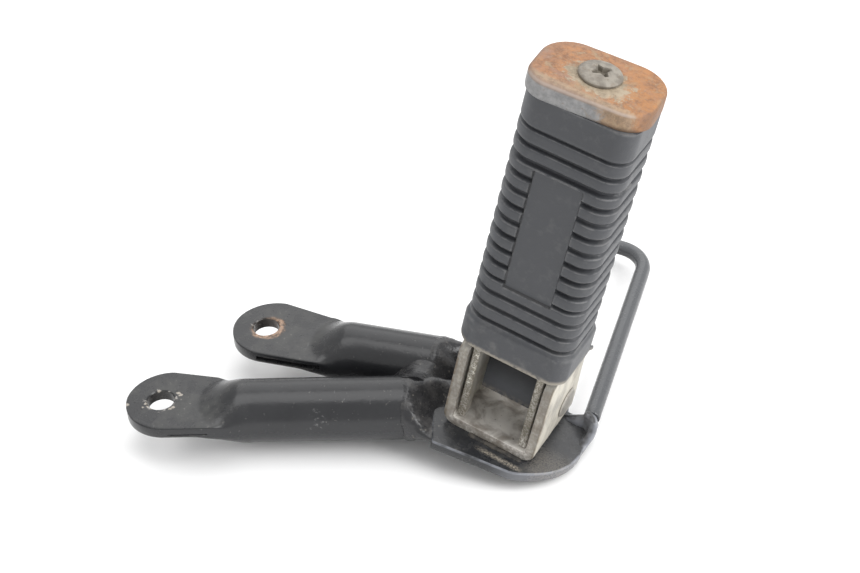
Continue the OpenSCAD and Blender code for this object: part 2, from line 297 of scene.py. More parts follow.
# ---- material helpers ----
class Look:
    """A node material, written top down. Coordinates are the piece's own, in millimetres."""

    def __init__(self, name, metallic=0.0, specular=0.5):
        self.material = bpy.data.materials.new(name)
        self.material.use_nodes = True
        self.tree = self.material.node_tree
        self.shader = self.tree.nodes["Principled BSDF"]
        self.shader.inputs["Metallic"].default_value = metallic
        self.shader.inputs["Specular IOR Level"].default_value = specular
        self.colour = None
        place = self.node("TexCoord").outputs["Object"]
        grow = self.node("VectorMath", [(0, place), ("Scale", 1 / MM)], operation="SCALE")
        self.place = grow.outputs[0]
        self.x, self.y, self.z = self.node("SeparateXYZ", [(0, self.place)]).outputs

    def node(self, kind, inputs=(), **settings):
        """A new shader node; inputs are (name or number, value) pairs."""
        n = self.tree.nodes.new("ShaderNode" + kind)
        for key, value in settings.items():
            setattr(n, key, value)
        for key, value in inputs:
            self.put(n.inputs[key], value)
        return n

    def link(self, a, b):
        self.tree.links.new(a, b)

    def put(self, socket, value):
        """Feeds a socket from another socket, a colour or a number."""
        if isinstance(value, bpy.types.NodeSocket):
            self.link(value, socket)
        elif isinstance(value, tuple) and len(value) == 3:
            socket.default_value = (*value, 1)
        else:
            socket.default_value = value

    def noise(self, size, detail=4.0, rough=0.6, stretch=(1, 1, 1), distort=0.0):
        """Cloudy number from 0 to 1 with blobs of about that size in millimetres."""
        scale = [1 / (size * s) for s in stretch]
        at = self.node("VectorMath", [(0, self.place), (1, scale)], operation="MULTIPLY")
        inputs = [("Scale", 1.0), ("Detail", detail), ("Roughness", rough), ("Distortion", distort),
                  ("Vector", at.outputs[0])]
        return self.node("TexNoise", inputs).outputs["Fac"]

    def patches(self, size, detail, low, high):
        """A band of noise: patches of about that size, fewer as low and high rise."""
        return self.band(self.noise(size, detail), low, high)

    def math(self, kind, a, b=0.0, clamp=False):
        return self.node("Math", [(0, a), (1, b)], operation=kind, use_clamp=clamp).outputs[0]

    def distance(self, point):
        """Millimetres from a point of the piece's own frame."""
        ends = [(0, self.place), (1, list(point))]
        return self.node("VectorMath", ends, operation="DISTANCE").outputs["Value"]

    def across(self, dx, dy):
        """Length of a step of dx and dy."""
        return self.math("SQRT", self.math("ADD", self.times(dx, dx), self.times(dy, dy)))

    def stray(self, value, cloud, amount):
        """A value pushed either way by a cloudy number; a mask made of it has a ragged edge."""
        return self.math("ADD", value, self.times(self.math("SUBTRACT", cloud, 0.5), amount))

    def band(self, value, low, high):
        """0 below low, 1 above high, and a smooth step between; low may be above high."""
        rising = low < high
        inputs = [("Value", value), ("From Min", min(low, high)), ("From Max", max(low, high)),
                  ("To Min", 0.0 if rising else 1.0), ("To Max", 1.0 if rising else 0.0)]
        return self.node("MapRange", inputs, interpolation_type="SMOOTHSTEP").outputs[0]

    def times(self, *values):
        out = values[0]
        for v in values[1:]:
            out = self.math("MULTIPLY", out, v)
        return out

    def mix(self, amount, a, b):
        """Colour a, or b where amount is 1."""
        return self.node("Mix", [(0, amount), (6, a), (7, b)], data_type="RGBA").outputs[2]

    def coat(self, mask, colour, strength=1.0):
        """Lays a colour over the material's own where the mask is 1."""
        self.colour = self.mix(self.times(mask, strength), self.colour, colour)

    def blend(self, amount, a, b):
        """Number a, or b where amount is 1."""
        return self.node("Mix", [(0, amount), (2, a), (3, b)], data_type="FLOAT").outputs[0]

    def edges(self, low, high):
        """1 on convex edges, from the mesh's own curvature."""
        return self.band(self.node("NewGeometry").outputs["Pointiness"], low, high)

    def lift(self):
        """How far the surface faces up, from -1 to 1."""
        normal = self.node("NewGeometry").outputs["Normal"]
        return self.node("SeparateXYZ", [(0, normal)]).outputs["Z"]

    def steep(self, low, high):
        """A band of the surface's tilt: with low above high, 1 where it stands upright."""
        return self.band(self.math("ABSOLUTE", self.lift()), low, high)

    def upward(self, low, high):
        """1 where the surface faces up."""
        return self.band(self.lift(), low, high)

    def finish(self, rough, metal=None, bumps=()):
        """Sets the shader's inputs; bumps are (height, depth in millimetres) pairs."""
        self.put(self.shader.inputs["Base Color"], self.colour)
        self.put(self.shader.inputs["Roughness"], rough)
        if metal is not None:
            self.put(self.shader.inputs["Metallic"], metal)
        under = []
        for height, depth in bumps:
            inputs = [("Strength", 1.0), ("Distance", depth * MM), ("Height", height)]
            under = [("Normal", self.node("Bump", inputs + under).outputs[0])]
        for name, normal in under:
            self.link(normal, self.shader.inputs[name])
        return self.material


def paint_finish(k, cloud, dust, *extra):
    """Gloss and orange peel shared by all the painted pieces."""
    peel = k.noise(0.9, 2, 0.5)
    rough = k.blend(dust, k.blend(cloud, 0.17, 0.31), 0.68)
    return k.finish(rough, bumps=((cloud, 0.2), (peel, 0.04), *extra))


def black_paint(name, sandy):
    """Gloss black paint with dust, specks and fine scratches; for the rod, with painted light on
    its upper side.

    The sandy one is the plate's: a painted sheen on its right, a painted floor reflection on its
    upright faces, a painted highlight along its top edge, and sand before the clevis.
    """
    k = Look(name)
    cloud = k.noise(14, 5)
    specks = k.band(k.noise(1.3, 2, 0.4), 0.70, 0.76)
    scratch = k.times(k.band(k.noise(1.1, 2, 0.5, (14, 1, 1)), 0.64, 0.72),
                      k.patches(9, 2, 0.5, 0.62))
    k.colour = k.mix(cloud, (0.011, 0.012, 0.014), (0.026, 0.027, 0.030))
    dust = k.times(k.upward(0.2, 1.0), k.patches(5, 5, 0.42, 0.75), 0.3)
    k.coat(dust, (0.105, 0.105, 0.10))
    k.coat(scratch, (0.16, 0.16, 0.165), 0.35)
    k.coat(specks, (0.24, 0.22, 0.19), 0.35)
    if sandy:
        # painted sheen: the plate's upward faces are painted paler towards its right
        right = k.times(k.band(k.x, 12, 21), k.upward(0.3, 0.9), 0.6)
        k.coat(right, (0.062, 0.063, 0.064))
        # painted reflection of the white floor on the plate's upright faces, towards its nose
        side = k.times(k.steep(0.75, 0.4), k.band(k.x, 3, 14), 0.75)
        k.coat(side, (0.16, 0.165, 0.18))
        # painted highlight, in patches, along the top edge of the plate's sloping and upright faces
        rim_highlight = k.times(k.steep(0.97, 0.85), k.band(k.z, -0.8, -0.5),
                       k.patches(6, 3, 0.3, 0.6), 0.6)
        k.coat(rim_highlight, (0.26, 0.27, 0.30))
        line = k.math("ADD", k.y, k.times(k.x, 0.02))
        near = k.times(k.band(line, -5.4, -4.3), k.band(line, -2.6, -3.9),
                       k.band(k.x, -3, 2), k.band(k.x, 15.5, 12))
        wide = k.times(k.band(k.x, 13, 17), k.band(k.y, -5, -2), k.band(k.y, 12, 4))
        grains = k.band(k.noise(0.5, 4, 0.7), 0.40, 0.60)
        sand = k.times(k.math("ADD", near, k.times(wide, 0.35), True), grains)
        k.coat(sand, (0.29, 0.255, 0.205), 0.9)
        dust = k.math("ADD", dust, sand, True)
    else:
        # painted light: the rod is painted lighter where it faces up
        k.coat(k.upward(-0.6, 0.9), (0.078, 0.081, 0.086))
    return paint_finish(k, cloud, dust)


# bare spots round the front bolt hole: x, y and size
FRONT_CHIPS = [(5.2, 2.9, 1.0), (5.9, 2.1, 0.9), (3.6, -4.2, 0.8), (4.4, -3.5, 0.9),
               (-4.3, -1.6, 0.8), (-3.4, -2.9, 0.8), (-2.2, -3.9, 0.7), (-1.2, 4.3, 0.6),
               (-10.4, -2.0, 1.0), (-5.2, -3.4, 0.5)]
CHIP_Z = 1.8  # just under the flattened end's top face
SCUFF_AT = (50, -9.0, 0.5)  # middle of the scuffed patch on the front tube


def chipped_paint(name, rusty):
    """The tubes' gloss black paint: chips round the bolt hole, or a rust crescent with rusty 1."""
    k = Look(name)
    cloud = k.noise(11, 5)
    k.colour = k.mix(cloud, (0.011, 0.011, 0.013), (0.026, 0.027, 0.029))
    dust = k.times(k.upward(0.4, 1.0), k.patches(6, 5, 0.4, 0.75), k.band(k.x, 34, 16), 0.4)
    k.coat(dust, (0.105, 0.105, 0.098))
    far = k.across(k.x, k.y)
    ragged = k.stray(far, k.noise(2.6, 5), 4.0)
    lean = k.math("SUBTRACT", k.times(k.x, 0.85), k.times(k.y, 0.5))
    rust = k.mix(k.patches(1.2, 4, 0.35, 0.62), (0.09, 0.055, 0.032), (0.42, 0.265, 0.175))
    reach = k.math("SUBTRACT", k.stray(far, k.noise(2.6, 4), 2.6), k.times(lean, 0.16))
    ring = k.times(k.band(reach, 6.2, 5.0), k.band(lean, -5.5, 0.5))
    k.coat(ring, rust, 0.85 * rusty)
    bare = k.times(k.band(ragged, 5.9, 5.6), k.patches(2.4, 3, 0.58, 0.64),
                   k.band(k.z, 1.6, 1.8))
    k.coat(bare, (0.36, 0.34, 0.32), 0.8 * (1 - rusty))
    bore = k.times(k.band(far, 4.5, 4.35), k.band(k.z, 1.9, 1.6))
    k.coat(bore, (0.012, 0.010, 0.009), 0.8)
    scratch = k.times(k.band(k.noise(1.0, 2, 0.5, (1, 10, 1)), 0.65, 0.72),
                      k.patches(7, 2, 0.54, 0.62))
    k.coat(scratch, (0.19, 0.19, 0.19), 0.25)
    chips = k.times(k.edges(0.54, 0.62), k.patches(2.2, 4, 0.5, 0.58))
    k.coat(chips, (0.36, 0.34, 0.31), 0.7)
    spots = k.times(k.band(k.noise(0.8, 2, 0.5), 0.66, 0.72), k.patches(6, 3, 0.52, 0.62))
    k.coat(spots, (0.26, 0.25, 0.23), 0.35)
    if not rusty:
        jagged = k.noise(0.9, 3)
        for x, y, size in FRONT_CHIPS:
            chip = k.band(k.stray(k.distance((x, y, CHIP_Z)), jagged, 1.8), 0.85 * size, 0.5 * size)
            k.coat(chip, (0.40, 0.36, 0.31), 0.8)
        near = k.stray(k.distance(SCUFF_AT), k.noise(2.2, 3), 9)
        scuff = k.times(k.band(near, 3.6, 1.6),
                        k.band(k.noise(1.6, 5, 0.7, (1, 0.4, 1)), 0.52, 0.66), 0.42)
        k.coat(scuff, (0.22, 0.22, 0.22))
    return paint_finish(k, cloud, dust, (k.times(ring, rusty), -0.12))


def weld_paint():
    """Painted weld with smooth lumps."""
    k = Look("weld_paint")
    lumps = k.noise(2.6, 3)
    k.colour = k.mix(k.noise(6, 4), (0.012, 0.012, 0.014), (0.030, 0.030, 0.032))
    specks = k.band(k.noise(1.0, 2, 0.4), 0.68, 0.74)
    k.coat(specks, (0.26, 0.24, 0.2), 0.4)
    dust = k.times(k.upward(0.1, 0.8), k.patches(4, 4, 0.45, 0.7), 0.3)
    k.coat(dust, (0.11, 0.105, 0.10))
    return paint_finish(k, lumps, dust, (lumps, 0.15))


def dusty_weld():
    """The bead at the clevis's foot: black paint with grey-brown dirt on it."""
    k = Look("dusty_weld")
    grain = k.noise(0.7, 5)
    cloud = k.noise(2.0, 4)
    k.colour = k.mix(k.band(cloud, 0.42, 0.66), (0.022, 0.021, 0.020), (0.085, 0.075, 0.062))
    k.coat(grain, (0.05, 0.045, 0.04), 0.4)
    return k.finish(0.75, bumps=((grain, 0.2), (cloud, 0.2)))


def worn_zinc(name, rubbed):
    """Dull zinc plating with brown grime and painted light on the right ear's outer face; rubbed
    gives the core's bright spots on its edges and painted shade on its walls' inner faces.
    """
    k = Look(name, specular=0.5)
    cloud = k.noise(7, 6, 0.62)
    fine = k.noise(1.1, 5, 0.65)
    streak = k.noise(1.6, 4, 0.6, (1, 1, 7))
    k.colour = k.mix(cloud, (0.19, 0.178, 0.158), (0.41, 0.395, 0.36))
    k.coat(k.band(streak, 0.48, 0.72), (0.55, 0.51, 0.43), 0.55)
    grime = k.times(k.band(k.noise(5.5, 5, 0.6), 0.47, 0.66), 0.62)
    k.coat(grime, (0.15, 0.118, 0.085))
    inner = k.times(k.band(k.x, -15.0, -13.6), k.band(k.x, 15.0, 13.6), k.band(k.z, 12, 4.5))
    mud = k.band(k.noise(6.5, 5, 0.55, distort=0.5), 0.34, 0.62)
    muddy = k.mix(mud, (0.30, 0.265, 0.23), (0.78, 0.75, 0.70))
    k.coat(inner, muddy, 0.85)
    pits = k.band(k.noise(1.3, 3, 0.5), 0.68, 0.74)
    k.coat(pits, (0.07, 0.055, 0.045), 0.6)
    bright = k.times(k.edges(0.52, 0.6), k.band(fine, 0.35, 0.6), 0.5)
    k.coat(bright, (0.62, 0.59, 0.52))
    rim = k.times(k.steep(0.5, 0.2), k.band(k.y, 1.6, 0.3), k.band(fine, 0.3, 0.6), 0.6)
    k.coat(rim, (0.15, 0.125, 0.10))
    sideways = k.math("ABSOLUTE", k.x)
    outline = k.times(k.band(sideways, 14.7, 15.4), k.band(k.y, 1.2, 0.5),
                      k.patches(2, 4, 0.35, 0.55), 0.7)
    k.coat(outline, (0.13, 0.095, 0.06))
    # painted light: the right ear's outer face is painted pale cream, as if lit from the right
    painted_light_right = k.times(k.band(k.x, 15.2, 15.6),
                      k.band(k.noise(7, 6, 0.6, (1, 1, 1.6)), 0.30, 0.62), 0.75)
    k.coat(painted_light_right, (0.60, 0.565, 0.485))
    rough = k.blend(fine, 0.42, 0.66)
    metal = k.blend(grime, 0.3, 0.05)
    if rubbed:
        front_edge = k.band(k.y, 1.9, 1.3)
        spots = k.times(front_edge, k.band(k.noise(0.9, 3, 0.6, (2, 1, 1.5)), 0.53, 0.65),
                        k.band(k.x, 4, -4), k.band(k.z, 11, 17), 0.75)
        k.coat(spots, (0.85, 0.82, 0.72))
        edge_dirt = k.times(front_edge, k.band(k.noise(0.5, 3, 0.6), 0.60, 0.44), 0.8)
        k.coat(edge_dirt, (0.10, 0.085, 0.055))
        # painted shade on the lower inner faces of the core's walls, under the grip
        shaded_inner_face = k.times(k.band(sideways, 9.7, 9.4), k.band(k.z, 26, 20),
                             k.band(cloud, 0.3, 0.6), 0.65)
        k.coat(shaded_inner_face, (0.17, 0.15, 0.105))
        rough = k.blend(spots, rough, 0.3)
        metal = k.blend(spots, metal, 0.8)
    bumps = ((cloud, 0.25), (fine, 0.09), (k.times(pits, inner), -0.1))
    return k.finish(rough, metal, bumps)


def plain_steel():
    """Dull steel with grime, for the pin and the inner pieces."""
    k = Look("plain_steel", metallic=0.7)
    cloud = k.noise(3, 5)
    k.colour = k.mix(cloud, (0.22, 0.205, 0.18), (0.47, 0.45, 0.41))
    grime = k.patches(2.2, 5, 0.52, 0.68)
    k.coat(grime, (0.12, 0.095, 0.07), 0.7)
    rough, metal = k.blend(cloud, 0.38, 0.6), k.blend(grime, 0.75, 0.1)
    return k.finish(rough, metal, bumps=((cloud, 0.08),))


def grip_rubber():
    """Aged grey moulded rubber, dusty on the lower lip, with painted shade in its grooves and at
    the panel's edges, painted highlights on its ribs and a painted sheen on its left.
    """
    k = Look("grip_rubber", specular=0.5)
    cloud = k.noise(16, 5)
    fine = k.noise(0.55, 4, 0.7)
    mottled = k.noise(3.5, 5, 0.65)
    k.colour = k.mix(cloud, (0.034, 0.036, 0.041), (0.052, 0.054, 0.060))
    k.coat(k.band(mottled, 0.5, 0.75), (0.10, 0.10, 0.10), 0.3)
    # painted shade in the grooves and other concave places
    k.coat(k.edges(0.475, 0.38), (0.016, 0.016, 0.017), 0.85)
    # painted sheen on the grip's left side
    k.coat(k.band(k.x, -9.5, -15.5), (0.095, 0.10, 0.11), 0.45)
    left, (foot, head) = PANEL_X[0] + GRIP_X, PANEL_Z
    side_line = k.times(k.band(k.x, left - 0.35, left - 0.05), k.band(k.x, left + 0.5, left + 0.2),
                        k.band(k.z, foot, foot + 0.3), k.band(k.z, head, head - 0.3))
    foot_line = k.times(k.band(k.z, foot - 0.3, foot), k.band(k.z, foot + 0.55, foot + 0.25),
                        k.band(k.x, left - 0.2, left), k.band(k.x, 8.2, 7.9))
    # painted shade along the recessed panel's left and bottom edges, on the front face
    panel_edge_shade = k.times(k.math("MAXIMUM", side_line, foot_line), k.band(k.y, 1.0, 0.0), 0.8)
    k.coat(panel_edge_shade, (0.014, 0.014, 0.015))
    lip = k.times(k.band(k.z, 38.6, 37.0), k.band(k.z, GRIP_Z0, GRIP_Z0 + 0.4),
                  k.patches(2.6, 5, 0.30, 0.52))
    k.coat(lip, (0.30, 0.27, 0.22), 0.85)
    # scuffs on convex edges, strengthened into a painted highlight on the ribs' edges
    scuff = k.times(k.edges(0.51, 0.55), k.band(mottled, 0.35, 0.6), 0.55)
    k.coat(scuff, (0.17, 0.17, 0.17))
    low = k.times(k.band(k.z, 60, 38), k.patches(5, 5, 0.45, 0.7), 0.3)
    k.coat(low, (0.17, 0.165, 0.155))
    rough = k.blend(cloud, 0.42, 0.56)
    return k.finish(rough, bumps=((mottled, 0.10), (fine, 0.03)))


def dark_rubber():
    """The rubber's tail between the core's walls: painted shade on its upper part under the grip,
    dusty along its lower edge.
    """
    k = Look("dark_rubber", specular=0.3)
    cloud = k.noise(5, 5)
    k.colour = k.mix(cloud, (0.055, 0.058, 0.064), (0.085, 0.088, 0.095))
    # painted shade: darker above, where the grip overhangs
    k.coat(k.band(k.z, 13, 24), (0.012, 0.012, 0.013))
    lower = k.times(k.band(k.z, 12.6, 10.6), k.patches(1.8, 4, 0.4, 0.6), 0.7)
    k.coat(lower, (0.20, 0.18, 0.155))
    return k.finish(0.6, bumps=((cloud, 0.15),))


def rusty_cap():
    """Zinc-plated cap: rusted orange on top, grey on its front skirt and tan round the screw."""
    k = Look("rusty_cap", specular=0.4)
    big = k.noise(9, 6, 0.6, distort=0.4)
    mid = k.noise(2.2, 6, 0.7)
    spread = k.noise(3.6, 7, 0.7, distort=0.4)
    fine = k.noise(0.8, 5, 0.65)
    k.colour = k.mix(k.band(mid, 0.34, 0.66), (0.185, 0.092, 0.050), (0.35, 0.17, 0.078))
    k.coat(k.band(fine, 0.46, 0.66), (0.28, 0.175, 0.112), 0.55)
    k.coat(k.band(spread, 0.52, 0.64), (0.285, 0.215, 0.138), 0.7)
    k.coat(k.band(big, 0.52, 0.66), (0.27, 0.165, 0.125), 0.5)
    bright = k.times(k.band(k.stray(k.x, big, 30), 2, 12), k.band(mid, 0.3, 0.55))
    k.coat(bright, (0.34, 0.155, 0.052), 0.45)
    beige = k.mix(k.band(mid, 0.35, 0.65), (0.22, 0.19, 0.135), (0.34, 0.305, 0.23))
    grey = k.mix(k.band(mid, 0.3, 0.7), (0.19, 0.195, 0.20), (0.29, 0.295, 0.30))
    dx = k.times(k.math("SUBTRACT", k.x, GRIP_X + 1.0), 0.9)
    dy = k.times(k.math("SUBTRACT", k.y, SCREW_Y - 2.3), 1.25)
    ragged = k.stray(k.across(dx, dy), spread, 20.0)
    k.coat(k.band(ragged, 9.4, 7.4), beige, 0.8)
    front = k.band(k.stray(k.y, spread, 8), 0.2, -1.4)
    k.coat(front, beige, 0.5)
    rim = k.times(k.band(k.z, CAP_TOP - 0.05, CAP_TOP - 0.5),
                  k.band(k.z, CAP_TOP - 2.2, CAP_TOP - 1.2), k.band(k.x, 9, -3))
    k.coat(rim, (0.24, 0.165, 0.13), 0.6)
    left = k.band(k.stray(k.x, spread, 16), 8.0, 3.0)
    skirt = k.times(k.band(k.z, CAP_TOP - 0.9, CAP_TOP - 2.0), left)
    k.coat(skirt, grey, 0.92)
    k.coat(k.patches(1.4, 4, 0.6, 0.72), (0.17, 0.10, 0.07), 0.4)
    # painted highlight: a thin light line along the front of the cap's rolled edge
    crest_highlight = k.times(k.band(k.z, CAP_TOP - 1.5, CAP_TOP - 1.0),
                    k.band(k.z, CAP_TOP - 0.35, CAP_TOP - 0.8), k.band(k.y, 0, -2), 0.55)
    k.coat(crest_highlight, (0.44, 0.37, 0.33))
    shady = k.math("MAXIMUM", k.band(k.z, CAP_Z0 + 1.6, CAP_Z0 + 0.3),
                   k.times(k.band(k.x, 15.5, 17.8), k.steep(0.9, 0.5)))
    shady = k.times(shady, k.math("SUBTRACT", 1.0, skirt), 0.6)
    k.coat(shady, (0.135, 0.085, 0.06))
    metal = k.blend(skirt, 0.0, 0.3)
    rough = k.blend(skirt, k.blend(mid, 0.55, 0.8), 0.45)
    return k.finish(rough, metal, bumps=((mid, 0.2), (fine, 0.07)))


def screw_steel():
    """Dull plated screw head with dirt in its recess."""
    k = Look("screw_steel", specular=0.5)
    cloud = k.noise(2.6, 5)
    k.colour = k.mix(k.band(cloud, 0.35, 0.65), (0.16, 0.142, 0.118), (0.255, 0.232, 0.196))
    grime = k.patches(1.5, 5, 0.55, 0.7)
    k.coat(grime, (0.14, 0.105, 0.07), 0.5)
    far = k.across(k.math("SUBTRACT", k.x, GRIP_X), k.math("SUBTRACT", k.y, SCREW_Y))
    recess = k.times(k.band(k.z, CAP_TOP + 1.55, CAP_TOP + 1.1), k.band(far, 3.9, 3.5))
    k.coat(recess, (0.115, 0.10, 0.078))
    return k.finish(k.blend(cloud, 0.45, 0.62), 0.2, bumps=((cloud, 0.08),))


# ---- bracket tubes ----
TAB_ROUND = 2.6  # power of the curve that rounds the flattened end's edges
TUBE_SIDES = 96


def tube_ring(s, mouth):
    """One ring, at a distance s from the hole, of a tube whose end is pressed flat.

    It opens from about the distance called mouth, and its far side tapers before that.
    """
    near = TAB_R
    if s < TAB_CENTRE:
        near = max(sqrt(max(TAB_R ** 2 - (s - TAB_CENTRE) ** 2, 0.0)), 0.82)
    far = min(near, max(13.05 - 0.2 * (s - 3.5), 9.9))
    half_t = TAB_T / 2
    ring = []
    for a in turns(TUBE_SIDES):
        c, n = cos(a), sin(a)
        u = min(abs(n) / 0.34, 1.0)
        flat_z = copysign(half_t * (1 - (1 - u) ** TAB_ROUND) ** (1 / TAB_ROUND), n)
        pressed = Vector(((far if c > 0 else near) * c, flat_z))
        opened = Vector((TUBE_R * c, TUBE_Z + TUBE_R * n))
        if n > 0:
            w = smooth(mouth - 0.8 + 4.8 * c * c, mouth + 13.0, s)
        else:
            w = smooth(mouth - 2.0, mouth + 15.5, s)
        q = pressed.lerp(opened, w)
        q.x = lerp(pressed.x, opened.x, smooth(mouth + 2, mouth + 18, s))
        ring.append((s, q.x, q.y))
    return ring


def bracket_tube(name, place, length, mouth, gap, node, material):
    """A tube with a drilled flat end; gap is the open seam's low and high z, start and stop."""
    tip = [TAB_CENTRE - TAB_R * cos(radians(a)) for a in steps(3.6, 90, 24)]
    along = tip + steps(TAB_CENTRE, mouth - 2, 4)[1:] + steps(mouth - 2, mouth + 17, 44)[1:]
    along += steps(mouth + 17, length - 5, 14)[1:]
    rings = ring_mesh([tube_ring(s, mouth) for s in along])
    piece = new_piece(name, rings, place, "bracket", [node], material)
    half, flare = TAB_T / 2, HOLE_R + 1.6
    cut(piece, lathe([(flare, -half - 1.2), (HOLE_R, -half + 0.35),
                      (HOLE_R, half - 0.35), (flare, half + 1.2)]))
    low, high, start, stop = gap
    inner, outer = -11.7, -17
    cut(piece, ring_mesh([[(s, outer, low), (s, inner, low), (s, inner, high), (s, outer, high)]
                          for s in (start, stop)]))
    shade(piece, 40)


# ---- weld beads ----
def bead(bm, line, width, height, ripple=0.16, pitch=1.5, seed=0.0, uneven=0.28):
    """A weld bead along a line of points, with ripples and an uneven width."""
    pts = [Vector(p) for p in line]
    path, run = [], 0.0
    for a, b in zip(pts, pts[1:]):
        n = max(int((b - a).length / 0.35), 1)
        path += [a.lerp(b, i / n) for i in range(n)]
    path.append(pts[-1])
    rings = []
    last = len(path) - 1
    for i, p in enumerate(path):
        run += (p - path[i - 1]).length if i else 0.0
        ahead = (path[min(i + 1, last)] - path[max(i - 1, 0)]).normalized()
        side = ahead.cross(Vector((0, 0, 1))).normalized()
        up = side.cross(ahead)
        end = sqrt(max(1 - (max(1 - i / 4, 1 - (last - i) / 4, 0)) ** 2, 0.02))
        wave = 1 + ripple * cos(2 * pi * run / pitch) + uneven * wobble(p, 3.0, seed)
        rings.append([p + (side * cos(a) * width + up * sin(a) * height) * wave * end
                      for a in turns(14)])
    add_rings(bm, rings)


def weld(name, place, node, lines, width, height, material, seed=0.0,
         ripple=0.16, uneven=0.28):
    """A piece of one or more beads."""
    bm = bmesh.new()
    for i, line in enumerate(lines):
        bead(bm, line, width, height, ripple, seed=seed + i, uneven=uneven)
    new_piece(name, bm, place, "bracket", [node], material, 60)


SUNK = 0.12  # how far a weld's edge sits inside a tube's skin


def crotch_weld(material):
    """Smooth web of weld that fills the fork between the two tubes and climbs their sides."""
    rings = []
    for t in steps(0, 1, 28):
        rise, fall = smooth(0, 0.5, t), 7.5 * smooth(0.6, 1.0, t)
        low, high = radians(lerp(4, 74, rise)), radians(180 - lerp(2, 52, rise))
        near, away = lerp(TUBE_R - SUNK, TUBE_R + 0.5, smooth(0.3, 0.6, t)), TUBE_R - SUNK
        a = to_row(FRONT, (lerp(66, 89, t), near * cos(low), TUBE_Z + near * sin(low)))
        b = to_row(REAR, (lerp(43, 69.5, t), away * cos(high), TUBE_Z + away * sin(high)))
        top = []
        for v in steps(0, 1, 24):
            p = a.lerp(b, v)
            p.z += (0.35 * wobble(p, 5.0, 4.0) - 1.4) * sin(pi * v) - fall
            top.append(p)
        under = [Vector((p.x, p.y, min(p.z - 1.0, TUBE_Z - 2.0))) for p in reversed(top)]
        rings.append(top + under)
    new_piece("crotch_bead", ring_mesh(rings), ROW, "bracket", ["tube_crotch_weld"],
              material, 60)


COLLAR_HEART = (-18, 6, -3)  # a place on the plate inside the collars


def collar_weld(name, tube, start, edge, node, material, seed):
    """Lumpy weld that runs from a tube's round end down onto the plate's left edge.

    The edge is a line of (x, y) places on the plate, from its back end to its front end.
    """
    rings = []
    for t in steps(0, 1, 30):
        ring = []
        for a in turns(72):
            c, n = cos(a), sin(a)
            r = TUBE_R + 0.03 + 0.3 * smooth(0.0, 0.14, t)
            ragged = start + 1.0 * wobble((3 * c, 3 * n, 0), 1.5, seed)
            round_end = to_row(tube, (ragged, r * c, TUBE_Z + r * n))
            u = (1 - c) / 2 * (len(edge) - 1)
            i = min(int(u), len(edge) - 2)
            x, y = (lerp(edge[i][j], edge[i + 1][j], u - i) for j in (0, 1))
            high = lerp(6.8, -0.15, smooth(0.15, 0.6, (1 - c) / 2)) if n > 0 else -3.65
            flat_end = to_row(PLATE, (x, y, -1.9 + (high + 1.9) * sqrt(abs(n))))
            q = round_end.lerp(flat_end, t)
            q.z = lerp(round_end.z, flat_end.z, smooth(0.0, 1.0, t) ** 1.3)
            lump = (0.85 * wobble(q, 5.0, seed) + 0.22 * wobble(q, 2.2, seed)) * sin(pi * t)
            away = (q - to_row(PLATE, COLLAR_HEART)).normalized()
            ring.append(q + away * lump)
        rings.append(ring)
    new_piece(name, ring_mesh(rings), ROW, "bracket", [node], material, 60)


# ---- plate ----
def plate_outline():
    """The plate from above: front edge, curve into the round nose, the lug's corner, the back."""
    a, b, c = Vector((11, -6.9)), Vector((13.8, -6.5)), Vector((19.4, -1.8))
    nose = [(1 - t) ** 2 * a + 2 * t * (1 - t) * b + t * t * c for t in steps(0, 1, 8)]
    outline = [(-13.6, -10.3)] + [tuple(p) for p in nose] + arc(7, 13, 19.3, -46, 8, 18)
    outline += arc(22.4, 24.2, 3.8, 0, 90, 8) + [(15.5, 28), (13, 34)]
    outline += [(-23.2, 34), (-23.6, 29), (-22.6, 17), (-19.7, 1.6)]
    return outline


def mounting_plate(material):
    bm = bmesh.new()
    add_prism(bm, plate_outline(), "Z", PLATE_T, -PLATE_T / 2)
    plate = new_piece("plate", bm, PLATE, "bracket", ["mounting_plate"], material)
    shade(bevel(plate, 0.55, 3, 50), 40)


def plate_lug(material):
    """Raised lip round the plate's back right corner, highest where it meets the guard's foot."""
    line = steps_2d((13.6, 25.4), (21.2, 25.7), 6) + arc(21.3, 21.4, 4.4, 84, 0, 14)
    line += steps_2d((25.7, 21.4), (24.9, 15.5), 6)[1:]
    path = [Vector(p) for p in line]
    rings = []
    count = len(path) - 1
    for i, p in enumerate(path):
        ahead = (path[min(i + 1, count)] - path[max(i - 1, 0)]).normalized()
        out = Vector((-ahead.y, ahead.x))
        t = i / count
        tall = 6.2 * smooth(-0.02, 0.36, t) * (1 - smooth(0.66, 1.0, t)) - 0.25
        ring = []
        for a in turns(28):
            up = 0.5 + 0.5 * sin(a)
            fillet = 1.3 * (1 - smooth(-1.0, 2.8, tall * up)) * smooth(0.5, 3.5, tall)
            side = 1.4 * max(cos(a), 0.0) + (1.4 + fillet) * min(cos(a), 0.0)
            ring.append((p.x + out.x * side, p.y + out.y * side, -1.2 + (tall + 1.2) * up))
        rings.append(ring)
    new_piece("plate_lug", ring_mesh(rings), PLATE, "bracket", [], material, 50)


# ---- clevis ----
def ear_limits(z):
    """Front and back edges of an ear at a height."""
    top, r_front, r_back = EAR_H, 4.0, 6.0
    front, back = 0.0, CLEVIS_D + 0.6 * smooth(2, 5, z) - 2.6 * smooth(6, 26, z)
    if z > top - r_front:
        front = r_front - sqrt(max(r_front ** 2 - (z - top + r_front) ** 2, 0))
    if z > top - r_back:
        back -= r_back - sqrt(max(r_back ** 2 - (z - top + r_back) ** 2, 0))
    return front, back


